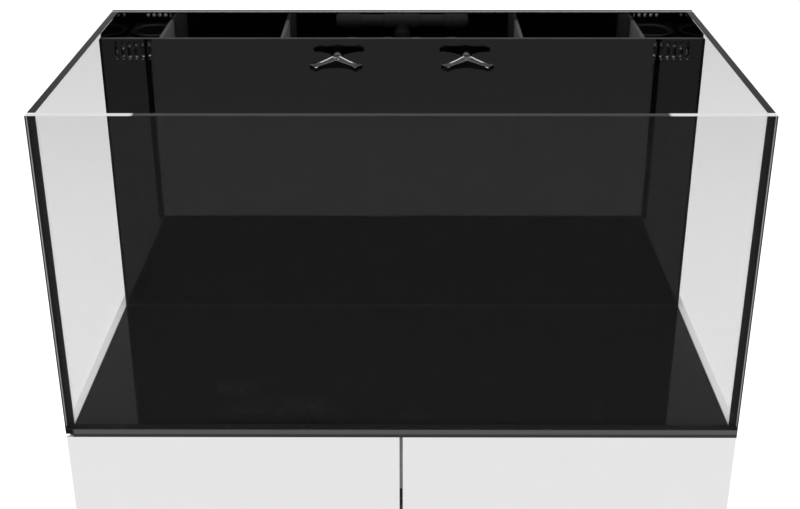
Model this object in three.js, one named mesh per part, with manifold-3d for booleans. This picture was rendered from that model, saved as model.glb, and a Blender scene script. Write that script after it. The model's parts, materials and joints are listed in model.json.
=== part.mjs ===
// An all-in-one aquarium on its cabinet. Millimetres, +Z up, the front faces -Y,
// and the origin is on the floor under the middle of the cabinet.
import * as THREE from "three";
import { mergeVertices } from "three/addons/utils/BufferGeometryUtils.js";
import Module from "manifold-3d";

const wasm = await Module();
wasm.setup();

// ---- driving dimensions ----
const WIDTH = 900; // tank and cabinet, left to right
const DEPTH = 500; // tank and cabinet, front to back
const TANK_HEIGHT = 450; // bottom of the glass to the rim
const CABINET_HEIGHT = 850;
const MAT = 5; // levelling mat between the cabinet and the glass
const GLASS = 10; // the four upright panes
const BASE_GLASS = 7; // the bottom pane
const JOINT = 1; // silicone between two panes
const BEAD = 3; // leg of the silicone fillet in an inner corner
const GAP = 0.3; // air between two pieces that only rest on each other
const HAIR = 0.02; // air between cured silicone and the glass that it touches

// ---- filter chambers behind the display ----
const WEIR_FRONT = 105; // Y of the overflow wall's front face
const WEIR = 8; // thickness of the overflow wall
const WEIR_DROP = 5.5; // rim to the top of the wall
const REAR_LINER = 10;
const SIDE_LINER = 3.4;
const LINER_DROP = 0.3; // rim to the top of the liners
const BAFFLE = 5;
const BAFFLE_DROP = 10;
const OUTER_BAFFLE_X = 355.2;
const INNER_BAFFLE_X = 176;
const OUTER_BAFFLE_FOOT = 45; // water passes under each baffle
const INNER_BAFFLE_FOOT = 30;

// ---- overflow combs ----
const SLOTS = 6;
const FIRST_SLOT_X = 369;
const SLOT_PITCH = 9.5;
const SLOT_WIDTH = 4.8;
const SLOT_TOP_DROP = 9;
const SLOT_HEIGHT = 28;

// ---- filter socks ----
const TRAY_DROP = 46; // rim to the top of the tray
const TRAY = 5;
const TRAY_HOLE_R = 32;
const SOCK_RING_R = 36.5;
const SOCK_R = 31.4;
const SOCK_LENGTH = 185;
const SOCK_WALL = 1.8;
const SOCK_NECK = 14; // part of the ring that hangs in the tray's hole

// ---- return pipework and nozzles ----
const RETURN_DROP = 31; // rim to the axis of the pipework and of the nozzles
const RETURN_Y = 157;
const NOZZLE_X = 94;
const PIPE_R = 10;
const PIPE_BORE_R = 7.5;
const FITTING_R = 13;
const SOCKET_R = 10.3;
const SOCKET_DEPTH = 13;
const TEE_ARM = 28.4;
const ELBOW_ARM = 27;
const STEM_R = 5.5;
const STEM_BORE_R = 2.2;
const NECK_R = 3.4;
const BALL_R = 5.8;
const BALL_Y = 83;
const SHOULDER_Y = 91.5; // where the stem narrows to its neck
const WALL_HOLE_R = 8;
const HEAD_R = 7.8;
const HEAD_BACK_Y = 89;
const ARM_ROOT_Y = 75;
const ARM_ROOT_WIDTH = 14;
const ARM_ROOT_HEIGHT = 13;
const ARM_LENGTH = 39;
const ARM_SPREAD = 58.5; // degrees between an arm and straight ahead
const ARM_DROOP = 3.2;
const MOUTH_WIDTH = 17;
const MOUTH_HEIGHT = 6.4;
const MOUTH_DEPTH = 13;
const MOUTH_WALL = 1.4;

// ---- return pump ----
const PUMP_Y = 165;
const PUMP_LIFT = 46; // glass floor to the motor axis
const VOLUTE_R = 38;
const VOLUTE_WALL = 4;
const VOLUTE_X = [-16, 14];
const INLET_R = 11;
const OUTLET_RISE = 52; // motor axis to the top of the outlet
const MOTOR_R = 31;
const MOTOR_LENGTH = 82;
const SADDLE_WIDTH = 52;
const SHAFT_R = 2;
const IMPELLER_R = 26;
const STRAINER_R = 24;
const STRAINER_LENGTH = 40;

// ---- cabinet ----
const BOARD = 18;
const BACK_BOARD = 16;
const DOOR_GAP = 3; // between a closed door and the cabinet's front edges
const DOOR_BOTTOM = 5;
const DOOR_SIDE_GAP = 0.4;
const CENTRE_GAP = 4.4;
const RAIL_HEIGHT = 80;
const CABLE_OPENING = [180, 108]; // each opening in the back panel
const CABLE_OPENING_X = 250;
const CABLE_OPENING_Z = 640;
const MAT_SHORTFALL = 10; // the mat stops short of the tank's left side
const PIVOT_INSET = 7; // door's outer edge to the pivot's axis
const PIVOT_R = 3;
const BUSH_BORE_R = 3.1;
const BUSH_R = 5;
const BUSH_LENGTH = 12;
const NOTCH_DEPTH = 5.5; // cut into the door's top edge over the pivot's arm
const BRACKET = 3; // thickness of a pivot's plate
const BRACKET_WIDTH = 12;
const BRACKET_REACH = 40; // how far a plate runs back into the cabinet
const PIN_LENGTH = 11;
const LATCH_X = 11; // middle of the cabinet to each plunger
const LATCH_SIZE = [48, 70, 17.4];
const PLUNGER_R = 4;

// ---- heights and planes worked out from them ----
const FRONT = -DEPTH / 2;
const BACK = DEPTH / 2;
const SIDE = WIDTH / 2;
const GLASS_BOTTOM = CABINET_HEIGHT + MAT;
const FLOOR = GLASS_BOTTOM + BASE_GLASS;
const PANE_BOTTOM = FLOOR + JOINT;
const RIM = GLASS_BOTTOM + TANK_HEIGHT;
const WEIR_BACK = WEIR_FRONT + WEIR;
const LINER_FRONT = BACK - GLASS - REAR_LINER;
const SIDE_LINER_X = SIDE - GLASS - SIDE_LINER;
const CHAMBER_MIDDLE_Y = (WEIR_BACK + LINER_FRONT) / 2;
const CARCASS_FRONT = FRONT + BOARD + DOOR_GAP;
const RETURN_Z = RIM - RETURN_DROP;
const SOCK_X = (OUTER_BAFFLE_X + BAFFLE / 2 + SIDE_LINER_X) / 2;
const PUMP_Z = FLOOR + PUMP_LIFT;
const PIVOT_X = SIDE - DOOR_SIDE_GAP - PIVOT_INSET;
const PIVOT_Y = FRONT + BOARD / 2;
const DOOR_Y = [FRONT, FRONT + BOARD];
const BRACKET_BACK = CARCASS_FRONT + BRACKET_REACH;
const LATCH_Z = CABINET_HEIGHT - BOARD - RAIL_HEIGHT - 9;
const OUTLET_TOP = PUMP_Z + OUTLET_RISE;

// ---- materials ----
function finish(color, roughness, metalness = 0, opacity = 1) {
  const transparent = opacity < 1;
  return new THREE.MeshStandardMaterial({ color, roughness, metalness, opacity, transparent });
}
const clearGlass = finish(0xc8d4d2, 0.04, 0, 0.3);
const blackGlass = finish(0x121212, 0.05);
const silicone = finish(0xb8b8b8, 0.3, 0, 0.5);
const blackSilicone = finish(0x0c0c0c, 0.35);
const blackAcrylic = finish(0x141414, 0.08);
const greyAcrylic = finish(0x2a2a2a, 0.15);
const blackPlastic = finish(0x191919, 0.35);
const glossyPlastic = finish(0x111111, 0.15);
const felt = finish(0xe6e6e0, 0.95);
const foam = finish(0x2e2e2e, 0.9);
const lacquer = finish(0xf2f2f2, 0.25);
const steel = finish(0xb0b0b0, 0.3, 1);
const nylon = finish(0xdddddd, 0.5);

const aquarium = new THREE.Group();

// ---- helpers ----
function add(name, geometry, material) {
  const mesh = new THREE.Mesh(geometry, material);
  mesh.name = name;
  aquarium.add(mesh);
  return mesh;
}

// A box between two values on each axis.
function box(x, y, z) {
  const geometry = new THREE.BoxGeometry(x[1] - x[0], y[1] - y[0], z[1] - z[0]);
  return geometry.translate((x[0] + x[1]) / 2, (y[0] + y[1]) / 2, (z[0] + z[1]) / 2);
}

// A cylinder round a line along X, Y or Z, from one value to another on that axis.
function rod(axis, radius, from, to, centre, sides = 20) {
  const geometry = new THREE.CylinderGeometry(radius, radius, to - from, sides);
  const middle = (from + to) / 2;
  if (axis === "x") return geometry.rotateZ(Math.PI / 2).translate(middle, centre[0], centre[1]);
  if (axis === "z") return geometry.rotateX(Math.PI / 2).translate(centre[0], centre[1], middle);
  return geometry.translate(centre[0], middle, centre[1]);
}

function ball(radius, x, y, z) {
  return new THREE.SphereGeometry(radius, 20, 10).translate(x, y, z);
}

// A flat outline extruded along Y, drawn as X and Z.
function plateAlongY(shape, from, to) {
  const geometry = new THREE.ExtrudeGeometry(shape, {
    depth: to - from,
    bevelEnabled: false,
    curveSegments: 4,
  });
  return geometry.rotateX(Math.PI / 2).translate(0, to, 0);
}

function polygon(points) {
  return new THREE.Shape(points.map(([x, y]) => new THREE.Vector2(x, y)));
}

// An upright slot with round ends.
function slotShape(x, bottom, width, height) {
  const r = width / 2;
  const shape = new THREE.Shape();
  shape.moveTo(x + r, bottom + r);
  shape.lineTo(x + r, bottom + height - r);
  shape.absarc(x, bottom + height - r, r, 0, Math.PI);
  shape.lineTo(x - r, bottom + r);
  shape.absarc(x, bottom + r, r, Math.PI, 2 * Math.PI);
  return shape;
}

function roundedRectangle(width, height, r, x, y) {
  const shape = new THREE.Shape();
  const a = width / 2 - r;
  const b = height / 2 - r;
  shape.absarc(x + a, y + b, r, 0, Math.PI / 2);
  shape.absarc(x - a, y + b, r, Math.PI / 2, Math.PI);
  shape.absarc(x - a, y - b, r, Math.PI, 1.5 * Math.PI);
  shape.absarc(x + a, y - b, r, 1.5 * Math.PI, 2 * Math.PI);
  return shape;
}

function solid(geometry) {
  const bare = geometry.clone();
  bare.deleteAttribute("normal");
  bare.deleteAttribute("uv");
  const merged = mergeVertices(bare, 1e-3);
  return new wasm.Manifold(
    new wasm.Mesh({
      numProp: 3,
      vertProperties: new Float32Array(merged.attributes.position.array),
      triVerts: new Uint32Array(merged.index.array),
    }),
  );
}

function join(...geometries) {
  return geometries.map(solid).reduce((sum, next) => sum.add(next));
}

function cut(whole, ...geometries) {
  return geometries.map(solid).reduce((left, next) => left.subtract(next), whole);
}

function surface(result) {
  const mesh = result.getMesh();
  const geometry = new THREE.BufferGeometry();
  geometry.setAttribute("position", new THREE.BufferAttribute(mesh.vertProperties, 3));
  geometry.setIndex(new THREE.BufferAttribute(mesh.triVerts, 1));
  geometry.computeVertexNormals();
  return geometry;
}

// A solid of revolution about an axis; profile points are (radius, distance along the axis).
function turned(profile, sides = 24) {
  return new THREE.LatheGeometry(profile.map(([r, t]) => new THREE.Vector2(r, t)), sides);
}

function turnedUpright(profile, x, y) {
  return turned(profile).rotateX(Math.PI / 2).translate(x, y, 0);
}

const SIDES = [
  ["left", -1],
  ["right", 1],
];

// Two values in rising order, mirrored to one side of the middle.
function mirrored(sign, inner, outer) {
  return sign < 0 ? [-outer, -inner] : [inner, outer];
}

// ---- glass ----
function addGlass() {
  const across = [-SIDE, SIDE];
  const upright = [PANE_BOTTOM, RIM];
  add("bottom_pane", box(across, [FRONT, BACK], [GLASS_BOTTOM, FLOOR]), blackGlass);
  add("front_pane", box(across, [FRONT, FRONT + GLASS], upright), clearGlass);
  add("rear_pane", box(across, [BACK - GLASS, BACK], upright), clearGlass);
  const between = [FRONT + GLASS + JOINT, BACK - GLASS - JOINT];
  for (const [side, sign] of SIDES) {
    add(side + "_pane", box(mirrored(sign, SIDE - GLASS, SIDE), between, upright), clearGlass);
  }
}

// The silicone between the panes, with a fillet round the display's front and side corners.
function addPaneSeals() {
  const inner = SIDE - GLASS;
  const under = [FLOOR + HAIR, PANE_BOTTOM - HAIR];
  const upright = [FLOOR + HAIR, RIM];
  const frontJoint = [FRONT + GLASS + HAIR, FRONT + GLASS + JOINT - HAIR];
  const rearJoint = [BACK - GLASS - JOINT + HAIR, BACK - GLASS - HAIR];
  const parts = [
    box([-SIDE, SIDE], [FRONT, FRONT + GLASS], under),
    box([-SIDE, SIDE], [BACK - GLASS, BACK], under),
    frontFillet(inner),
  ];
  for (const [, sign] of SIDES) {
    const pane = mirrored(sign, inner, SIDE);
    parts.push(box(pane, [FRONT + GLASS - BEAD, BACK - GLASS + BEAD], under));
    parts.push(box(pane, frontJoint, upright));
    parts.push(box(pane, rearJoint, upright));
    parts.push(sideFillet(sign, inner));
    parts.push(cornerFillet(sign, inner));
  }
  add("pane_seals", surface(join(...parts)), silicone);
}

// Each fillet reaches a little into its joint, so that the two become one body.
function frontFillet(inner) {
  const y = FRONT + GLASS + HAIR;
  const profile = [
    [y - BEAD, FLOOR + HAIR],
    [y + BEAD, FLOOR + HAIR],
    [y, FLOOR + BEAD],
    [y, PANE_BOTTOM - HAIR],
    [y - BEAD, PANE_BOTTOM - HAIR],
  ];
  return alongX(profile, -inner + HAIR, inner - HAIR);
}

function sideFillet(sign, inner) {
  const x = inner - HAIR;
  const points = [
    [sign * (inner + BEAD), FLOOR + HAIR],
    [sign * (inner + BEAD), PANE_BOTTOM - HAIR],
    [sign * x, PANE_BOTTOM - HAIR],
    [sign * x, FLOOR + BEAD],
    [sign * (x - BEAD), FLOOR + HAIR],
  ];
  const from = FRONT + GLASS + HAIR;
  return plateAlongY(polygon(turnedLeft(points, sign)), from, WEIR_FRONT - BEAD - GAP);
}

function cornerFillet(sign, inner) {
  const x = inner - HAIR;
  const y = FRONT + GLASS + HAIR;
  const joint = FRONT + GLASS + JOINT - HAIR;
  const points = [
    [sign * (x - BEAD), y],
    [sign * (inner + BEAD), y],
    [sign * (inner + BEAD), joint],
    [sign * x, joint],
    [sign * x, y + BEAD],
  ];
  return alongZ(turnedLeft(points, sign), FLOOR + HAIR, RIM);
}

// Points listed for the right side, in the turning sense that an outline needs.
function turnedLeft(points, sign) {
  return sign > 0 ? points : points.slice().reverse();
}

// A flat outline drawn as X and Y, extruded upwards.
function alongZ(points, from, to) {
  const geometry = new THREE.ExtrudeGeometry(polygon(points), {
    depth: to - from,
    bevelEnabled: false,
  });
  return geometry.translate(0, 0, from);
}

// A flat outline drawn as Y and Z, extruded along X.
function alongX(points, from, to) {
  const geometry = new THREE.ExtrudeGeometry(polygon(points), {
    depth: to - from,
    bevelEnabled: false,
  });
  return geometry.rotateX(Math.PI / 2).rotateZ(Math.PI / 2).translate(from, 0, 0);
}

// ---- overflow wall, liners and baffles ----
function addWeir() {
  const top = RIM - WEIR_DROP;
  const end = SIDE - GLASS - JOINT;
  const wall = solid(box([-end, end], [WEIR_FRONT, WEIR_BACK], [PANE_BOTTOM, top]));
  const cuts = [];
  const past = 1; // how far a cutting tool runs past each face
  for (const [, sign] of SIDES) {
    for (let i = 0; i < SLOTS; i++) {
      const x = sign * (FIRST_SLOT_X + SLOT_PITCH * i);
      const bottom = RIM - SLOT_TOP_DROP - SLOT_HEIGHT;
      const shape = slotShape(x, bottom, SLOT_WIDTH, SLOT_HEIGHT);
      cuts.push(plateAlongY(shape, WEIR_FRONT - past, WEIR_BACK + past));
    }
    const hole = [sign * NOZZLE_X, RETURN_Z];
    cuts.push(rod("y", WALL_HOLE_R, WEIR_FRONT - past, WEIR_BACK + past, hole));
  }
  add("weir_wall", surface(cut(wall, ...cuts)), blackAcrylic);
  addWeirSeal(top);
}

// One silicone joint down both ends of the wall and along its foot.
function addWeirSeal(top) {
  const inner = SIDE - GLASS - HAIR;
  const end = SIDE - GLASS - JOINT + HAIR;
  const face = WEIR_FRONT - HAIR;
  const foot = [
    [face - BEAD, FLOOR + HAIR],
    [WEIR_BACK, FLOOR + HAIR],
    [WEIR_BACK, PANE_BOTTOM - HAIR],
    [face, PANE_BOTTOM - HAIR],
    [face, FLOOR + BEAD],
  ];
  const parts = [alongX(foot, -inner, inner)];
  for (const [, sign] of SIDES) {
    const points = [
      [sign * inner, face - BEAD],
      [sign * inner, WEIR_BACK],
      [sign * end, WEIR_BACK],
      [sign * end, face],
      [sign * (inner - BEAD), face],
    ];
    parts.push(alongZ(turnedLeft(points, sign), FLOOR + HAIR, top));
  }
  add("weir_seal", surface(join(...parts)), blackSilicone);
}

function addLiners() {
  const inner = SIDE - GLASS - GAP;
  const z = [FLOOR + GAP, RIM - LINER_DROP];
  const rearY = [LINER_FRONT, BACK - GLASS - GAP];
  add("rear_liner", box([-inner, inner], rearY, z), blackAcrylic);
  for (const [side, sign] of SIDES) {
    const x = mirrored(sign, SIDE_LINER_X, inner);
    add("side_liner_" + side, box(x, [WEIR_BACK + GAP, LINER_FRONT - GAP], z), blackAcrylic);
  }
}

function addBaffles() {
  const y = [WEIR_BACK + GAP, LINER_FRONT - GAP];
  const rows = [
    ["outer", OUTER_BAFFLE_X, OUTER_BAFFLE_FOOT],
    ["inner", INNER_BAFFLE_X, INNER_BAFFLE_FOOT],
  ];
  for (const [side, sign] of SIDES) {
    for (const [place, middle, foot] of rows) {
      const x = mirrored(sign, middle - BAFFLE / 2, middle + BAFFLE / 2);
      const name = "baffle_" + side + "_" + place;
      add(name, box(x, y, [FLOOR + foot, RIM - BAFFLE_DROP]), greyAcrylic);
    }
  }
}

// ---- filter socks ----
function addSock(side, sign) {
  const x = sign * SOCK_X;
  const y = CHAMBER_MIDDLE_Y;
  const top = RIM - TRAY_DROP;
  const inner = OUTER_BAFFLE_X + BAFFLE / 2 + GAP;
  const trayX = mirrored(sign, inner, SIDE_LINER_X - GAP);
  const trayY = [WEIR_BACK + GAP, LINER_FRONT - GAP];
  const tray = solid(box(trayX, trayY, [top - TRAY, top]));
  const hole = rod("z", TRAY_HOLE_R, top - TRAY - 1, top + 1, [x, y], 28);
  add("sock_tray_" + side, surface(cut(tray, hole)), blackPlastic);
  add("sock_ring_" + side, turnedUpright(sockRingProfile(top + GAP), x, y), blackPlastic);
  add("sock_bag_" + side, turnedUpright(sockBagProfile(top), x, y), felt);
}

function sockRingProfile(z) {
  const flange = 4;
  const bore = SOCK_R - 4;
  const corner = 1;
  return [
    [bore, z - SOCK_NECK],
    [SOCK_R, z - SOCK_NECK],
    [SOCK_R, z],
    [SOCK_RING_R, z],
    [SOCK_RING_R, z + flange - corner],
    [SOCK_RING_R - corner, z + flange],
    [bore + corner, z + flange],
    [bore, z + flange - corner],
    [bore, z - SOCK_NECK],
  ];
}

// An open-topped bag: outside wall, round bottom, then back up the inside.
function sockBagProfile(trayTop) {
  const top = trayTop - SOCK_NECK;
  const bottom = top - SOCK_LENGTH;
  const steps = 4;
  const round = 22;
  const inner = SOCK_R - SOCK_WALL;
  const points = [[SOCK_R, top]];
  for (let i = 0; i <= steps; i++) {
    const a = (i / steps) * (Math.PI / 2);
    points.push([SOCK_R - round + round * Math.cos(a), bottom + round - round * Math.sin(a)]);
  }
  points.push([0, bottom]);
  points.push([0, bottom + SOCK_WALL]);
  for (let i = steps; i >= 0; i--) {
    const a = (i / steps) * (Math.PI / 2);
    const r = round - SOCK_WALL;
    points.push([inner - r + r * Math.cos(a), bottom + round - r * Math.sin(a)]);
  }
  points.push([inner, top]);
  points.push([SOCK_R, top]);
  return points.reverse();
}

// ---- return pipework ----
function addTee() {
  const y = RETURN_Y;
  const z = RETURN_Z;
  const outside = join(
    rod("x", FITTING_R, -TEE_ARM, TEE_ARM, [y, z]),
    rod("z", FITTING_R, z - TEE_ARM, z, [0, y]),
  );
  const end = TEE_ARM - SOCKET_DEPTH;
  const tee = cut(
    outside,
    rod("x", SOCKET_R, -TEE_ARM - 1, -end, [y, z]),
    rod("x", SOCKET_R, end, TEE_ARM + 1, [y, z]),
    rod("z", SOCKET_R, z - TEE_ARM - 1, z - end, [0, y]),
    rod("x", PIPE_BORE_R, -end - 1, end + 1, [y, z]),
    rod("z", PIPE_BORE_R, z - end - 1, z, [0, y]),
  );
  add("return_tee", surface(tee), blackPlastic);
}

function pipe(axis, from, to, centre) {
  const outside = solid(rod(axis, PIPE_R, from, to, centre));
  return surface(cut(outside, rod(axis, PIPE_BORE_R, from - 1, to + 1, centre)));
}

function addReturnArm(side, sign) {
  const z = RETURN_Z;
  const start = TEE_ARM - SOCKET_DEPTH + 0.5;
  const finishX = NOZZLE_X - ELBOW_ARM + SOCKET_DEPTH - 0.5;
  const [from, to] = mirrored(sign, start, finishX);
  add("return_pipe_" + side, pipe("x", from, to, [RETURN_Y, z]), blackPlastic);
  addElbow(side, sign);
}

// The elbow turns from the pipe towards the overflow wall.
function addElbow(side, sign) {
  const x = sign * NOZZLE_X;
  const y = RETURN_Y;
  const z = RETURN_Z;
  const mouth = y - ELBOW_ARM;
  const [a, b] = mirrored(sign, NOZZLE_X - ELBOW_ARM, NOZZLE_X);
  const outside = join(
    rod("x", FITTING_R, a, b, [y, z]),
    rod("y", FITTING_R, mouth, y, [x, z]),
    ball(FITTING_R, x, y, z),
  );
  const [c, d] = mirrored(sign, NOZZLE_X - ELBOW_ARM - 1, NOZZLE_X - ELBOW_ARM + SOCKET_DEPTH);
  const elbow = cut(
    outside,
    rod("x", SOCKET_R, c, d, [y, z]),
    rod("x", STEM_R + GAP, a, b, [y, z]),
    rod("y", STEM_R + GAP, mouth - 1, y, [x, z]),
  );
  add("return_elbow_" + side, surface(elbow), blackPlastic);
}

// ---- nozzles ----
function addNozzle(side, sign) {
  const x = sign * NOZZLE_X;
  const grommet = [
    [STEM_R + GAP, WEIR_FRONT],
    [WALL_HOLE_R - GAP, WEIR_FRONT],
    [WALL_HOLE_R - GAP, WEIR_BACK],
    [STEM_R + GAP, WEIR_BACK],
    [STEM_R + GAP, WEIR_FRONT],
  ];
  add("wall_grommet_" + side, turned(grommet).translate(x, 0, RETURN_Z), blackSilicone);
  add("nozzle_stem_" + side, stemGeometry().translate(x, 0, RETURN_Z), glossyPlastic);
  add("nozzle_head_" + side, headGeometry().translate(x, 0, RETURN_Z), glossyPlastic);
}

// A tube from inside the elbow through the wall, with a neck and a ball on its end.
function stemGeometry() {
  const rear = RETURN_Y - PIPE_R;
  const chamfer = 0.6;
  const ballStart = Math.sqrt(BALL_R ** 2 - NECK_R ** 2);
  const ballEnd = Math.sqrt(BALL_R ** 2 - STEM_BORE_R ** 2);
  const steps = 6;
  const startAngle = Math.atan2(NECK_R, ballStart);
  const endAngle = Math.atan2(STEM_BORE_R, -ballEnd);
  const profile = [
    [STEM_BORE_R, rear],
    [STEM_BORE_R, BALL_Y - ballEnd],
  ];
  for (let i = 1; i < steps; i++) {
    const a = endAngle + ((startAngle - endAngle) * i) / steps;
    profile.push([BALL_R * Math.sin(a), BALL_Y + BALL_R * Math.cos(a)]);
  }
  profile.push([NECK_R, BALL_Y + ballStart]);
  profile.push([NECK_R, SHOULDER_Y]);
  profile.push([STEM_R - chamfer, SHOULDER_Y]);
  profile.push([STEM_R, SHOULDER_Y + chamfer]);
  profile.push([STEM_R, rear]);
  profile.push([STEM_BORE_R, rear]);
  return turned(profile);
}

// A socket for the ball, and two flat arms that spread and flatten to a slot each.
function headGeometry() {
  const socketR = BALL_R + 0.25;
  const throatR = 4.4; // the neck's clearance where it leaves the socket
  const lipR = 5.4;
  const opening = turned([
    [0, BALL_Y],
    [throatR, BALL_Y + 3.6],
    [lipR, HEAD_BACK_Y + 0.01],
    [lipR, HEAD_BACK_Y + 1],
    [0, HEAD_BACK_Y + 1],
  ]);
  const body = join(
    rod("y", HEAD_R, ARM_ROOT_Y - 5, HEAD_BACK_Y, [0, 0]),
    armSolid(-1),
    armSolid(1),
  );
  const mouths = [mouthSlot(-1), mouthSlot(1)];
  return surface(cut(body, ball(socketR, 0, BALL_Y, 0), opening, ...mouths));
}

// A bar along +X that tapers from one rectangle to another, lowered at its far end.
function taperedBar(length, near, far, droop) {
  const geometry = new THREE.BoxGeometry(length, 1, 1, 4, 1, 1);
  const position = geometry.attributes.position;
  for (let i = 0; i < position.count; i++) {
    const t = position.getX(i) / length + 0.5;
    const width = near[0] + (far[0] - near[0]) * t;
    const height = near[1] + (far[1] - near[1]) * Math.pow(t, 0.7);
    position.setXYZ(
      i,
      t * length,
      position.getY(i) * width,
      position.getZ(i) * height - droop * t,
    );
  }
  return geometry;
}

function alongArm(geometry, sign) {
  const turn = sign > 0 ? ARM_SPREAD - 90 : -90 - ARM_SPREAD;
  return geometry.rotateZ((turn * Math.PI) / 180).translate(0, ARM_ROOT_Y, 0);
}

function armSolid(sign) {
  const root = [ARM_ROOT_WIDTH, ARM_ROOT_HEIGHT];
  const bar = taperedBar(ARM_LENGTH, root, [MOUTH_WIDTH, MOUTH_HEIGHT], ARM_DROOP);
  return alongArm(bar, sign);
}

function mouthSlot(sign) {
  const width = MOUTH_WIDTH - 2 * MOUTH_WALL;
  const height = MOUTH_HEIGHT - 2 * MOUTH_WALL;
  const slot = new THREE.BoxGeometry(MOUTH_DEPTH, width, height);
  slot.translate(ARM_LENGTH - MOUTH_DEPTH / 2 + 1, 0, -ARM_DROOP);
  return alongArm(slot, sign);
}

// ---- return pump ----
function addPump() {
  addVolute();
  addMotor();
  addImpeller();
  addStrainer();
  const bottom = OUTLET_TOP - SOCKET_DEPTH + 0.5;
  const top = RETURN_Z - TEE_ARM + SOCKET_DEPTH - 0.5;
  add("riser_pipe", pipe("z", bottom, top, [0, RETURN_Y]), blackPlastic);
}

// A round casing open towards the motor, with an inlet in front and an outlet on top.
function addVolute() {
  const axis = [PUMP_Y, PUMP_Z];
  const outlet = [0, RETURN_Y];
  const [front, back] = VOLUTE_X;
  const outside = join(
    rod("x", VOLUTE_R, front, back, axis, 28),
    rod("z", FITTING_R, PUMP_Z, OUTLET_TOP, outlet),
  );
  const casing = cut(
    outside,
    rod("x", VOLUTE_R - VOLUTE_WALL, front + VOLUTE_WALL, back + 1, axis, 28),
    rod("x", INLET_R, front - 1, front + VOLUTE_WALL + 1, axis),
    rod("z", SOCKET_R, OUTLET_TOP - SOCKET_DEPTH, OUTLET_TOP + 1, outlet),
    rod("z", PIPE_BORE_R, PUMP_Z, OUTLET_TOP, outlet),
  );
  add("pump_volute", surface(casing), blackPlastic);
}

// The motor's ribbed can and shaft, with the saddle and feet that it stands on.
function addMotor() {
  const start = VOLUTE_X[1] + GAP;
  const end = start + MOTOR_LENGTH;
  const axis = [PUMP_Y, PUMP_Z];
  const halfSaddle = SADDLE_WIDTH / 2;
  const saddleY = [PUMP_Y - halfSaddle, PUMP_Y + halfSaddle];
  const parts = [
    rod("x", VOLUTE_R, start, start + 6, axis, 28),
    rod("x", MOTOR_R - 2, start, end, axis),
    box([start + 2, end - 4], saddleY, [FLOOR + 2, PUMP_Z - 12]),
    rod("x", SHAFT_R, start - 22, start + 2, axis, 16),
  ];
  const ribs = 5;
  const ribPitch = 14;
  const ribWidth = 6;
  for (let i = 0; i < ribs; i++) {
    const x = start + 12 + i * ribPitch;
    parts.push(rod("x", MOTOR_R, x, x + ribWidth, axis));
  }
  const footR = 5;
  const footInset = 8;
  for (const x of [start + 12, end - 14]) {
    for (const y of [saddleY[0] + footInset, saddleY[1] - footInset]) {
      parts.push(rod("z", footR, FLOOR + GAP, FLOOR + 4, [x, y], 12));
    }
  }
  add("pump_motor", surface(join(...parts)), blackPlastic);
}

// A disc with straight vanes, running free on the motor's shaft.
function addImpeller() {
  const axis = [PUMP_Y, PUMP_Z];
  const disc = [3, 6];
  const vaneX = [-9, 4];
  const hubR = 7;
  const vaneThickness = 2.4;
  const vaneOffset = 3.5; // each vane stands beside the axis, not on it
  const vanes = 6;
  const parts = [
    rod("x", IMPELLER_R, disc[0], disc[1], axis, 24),
    rod("x", hubR, vaneX[0], disc[1], axis),
  ];
  const inner = hubR - 2;
  const outer = IMPELLER_R - 1;
  for (let i = 0; i < vanes; i++) {
    const vane = new THREE.BoxGeometry(vaneX[1] - vaneX[0], vaneThickness, outer - inner);
    vane.translate((vaneX[0] + vaneX[1]) / 2, vaneOffset, (outer + inner) / 2);
    vane.rotateX((i / vanes) * 2 * Math.PI).translate(0, PUMP_Y, PUMP_Z);
    parts.push(vane);
  }
  const bore = rod("x", SHAFT_R + GAP, vaneX[0] - 1, disc[1] + 1, axis, 16);
  add("pump_impeller", surface(cut(join(...parts), bore)), nylon);
}

// A slotted cage in front of the pump's inlet.
function addStrainer() {
  const end = VOLUTE_X[0] - GAP;
  const start = end - STRAINER_LENGTH;
  const round = 4;
  const wall = 3;
  const profile = [
    [0, start],
    [STRAINER_R - round, start],
    [STRAINER_R, start + round],
    [STRAINER_R, end - wall],
    [STRAINER_R + round, end - wall],
    [STRAINER_R + round, end],
    [STRAINER_R - wall, end],
    [STRAINER_R - wall, start + wall + 2],
    [0, start + wall],
    [0, start],
  ];
  const shell = solid(turned(profile).rotateZ(-Math.PI / 2).translate(0, PUMP_Y, PUMP_Z));
  const cuts = [];
  const windows = 8;
  for (let i = 0; i < windows; i++) {
    const window = new THREE.BoxGeometry(STRAINER_LENGTH * 0.6, 3.4, 12);
    window.translate((start + end) / 2, 0, STRAINER_R);
    window.rotateX((i / windows) * 2 * Math.PI).translate(0, PUMP_Y, PUMP_Z);
    cuts.push(window);
  }
  add("pump_strainer", surface(cut(shell, ...cuts)), blackPlastic);
}

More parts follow.
